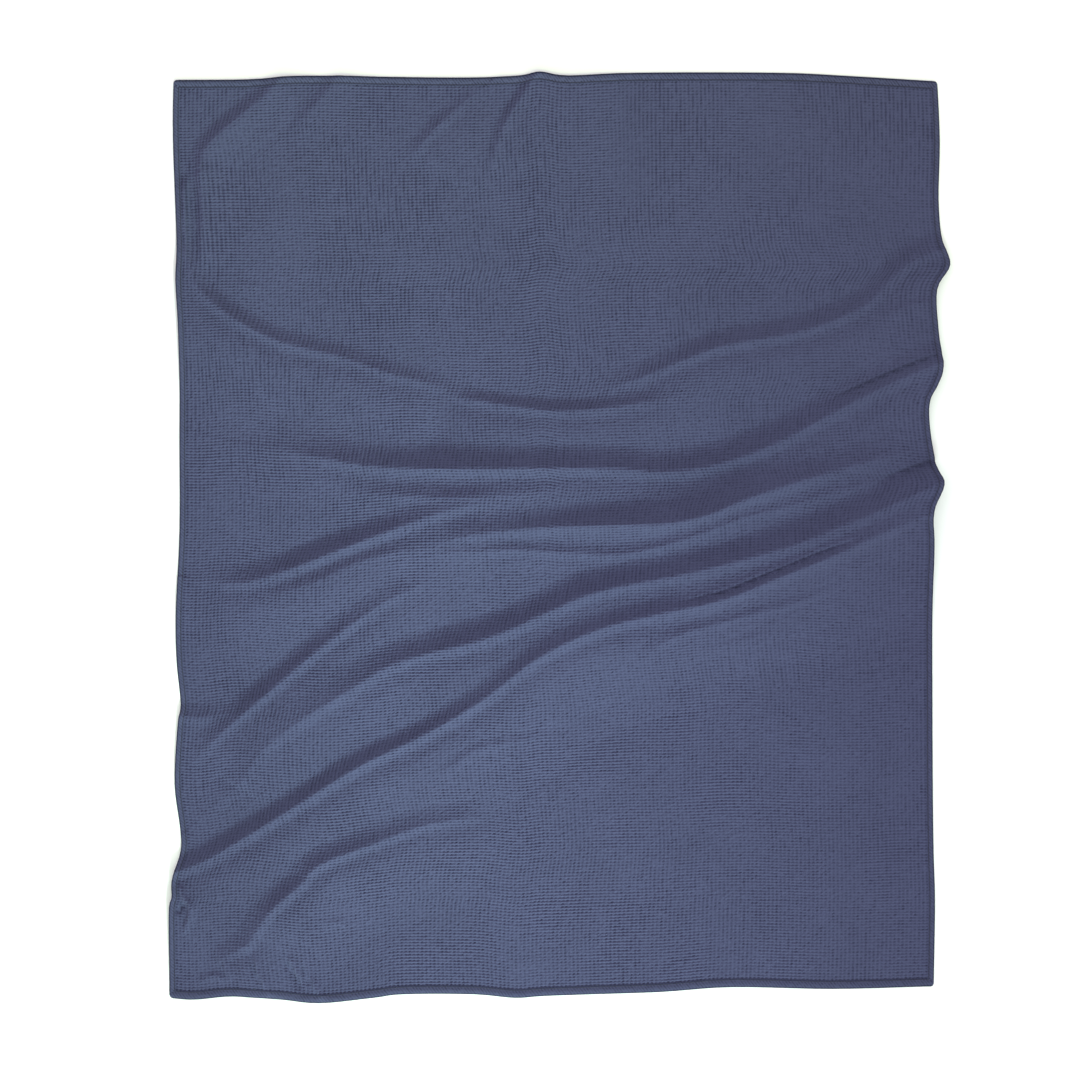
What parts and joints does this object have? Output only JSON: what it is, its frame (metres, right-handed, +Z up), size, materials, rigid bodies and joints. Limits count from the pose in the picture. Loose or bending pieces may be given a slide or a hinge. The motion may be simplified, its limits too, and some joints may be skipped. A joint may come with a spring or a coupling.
{
  "type": "waffle weave cotton blanket",
  "caption": "Rectangular hemmed blanket of waffle weave cotton, laid out face up with soft folds sweeping across it.",
  "frame": {"origin": "middle of the laid cloth's outline, on the surface that it lies on", "axes": "+X to the right across the cloth and +Y up its length as it is seen from above, +Z up from the surface"},
  "size_m": [1.3062, 1.5588, 0.0407],
  "materials": {
    "cotton": "matt slate blue waffle weave cotton"
  },
  "bodies": {
    "root": {"blanket": "cotton"}
  },
  "joints": []
}
